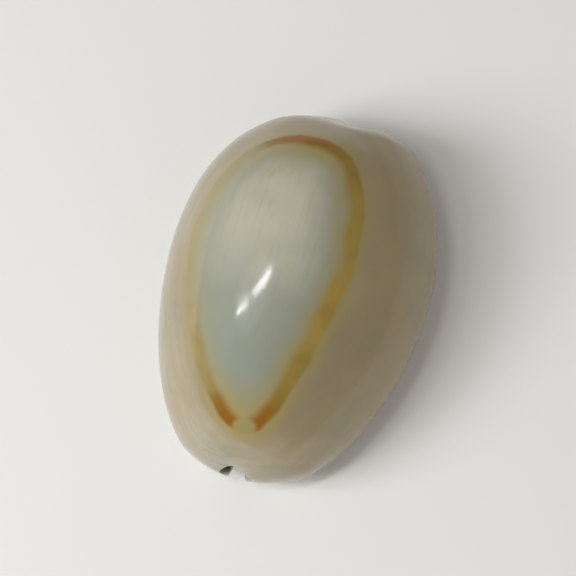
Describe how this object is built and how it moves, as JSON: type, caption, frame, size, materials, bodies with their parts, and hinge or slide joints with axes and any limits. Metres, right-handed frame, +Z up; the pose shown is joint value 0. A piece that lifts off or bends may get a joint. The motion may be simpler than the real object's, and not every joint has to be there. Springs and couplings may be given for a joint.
{
  "type": "cowrie shell",
  "caption": "Whole ring cowrie shell: a glossy egg-shaped hollow shell with a ringed domed back, a thick brim and a toothed slit along its flat base; lies on its base.",
  "frame": {"origin": "centre of the bounding box at the level of the base, on the surface that the shell rests on", "axes": "+Z up through the domed back; +Y along the length towards the rounder spire (posterior) end, so the narrow front (anterior) end is at -Y; +X towards the columella side, with the outer lip at -X"},
  "size_m": [0.0178, 0.025, 0.0127],
  "materials": {
    "shell_porcelain": "high natural polish: cream to taupe brim, grey-green back inside an ochre ring, white toothed base"
  },
  "bodies": {
    "root": {"cowrie_shell": "shell_porcelain"}
  },
  "joints": []
}
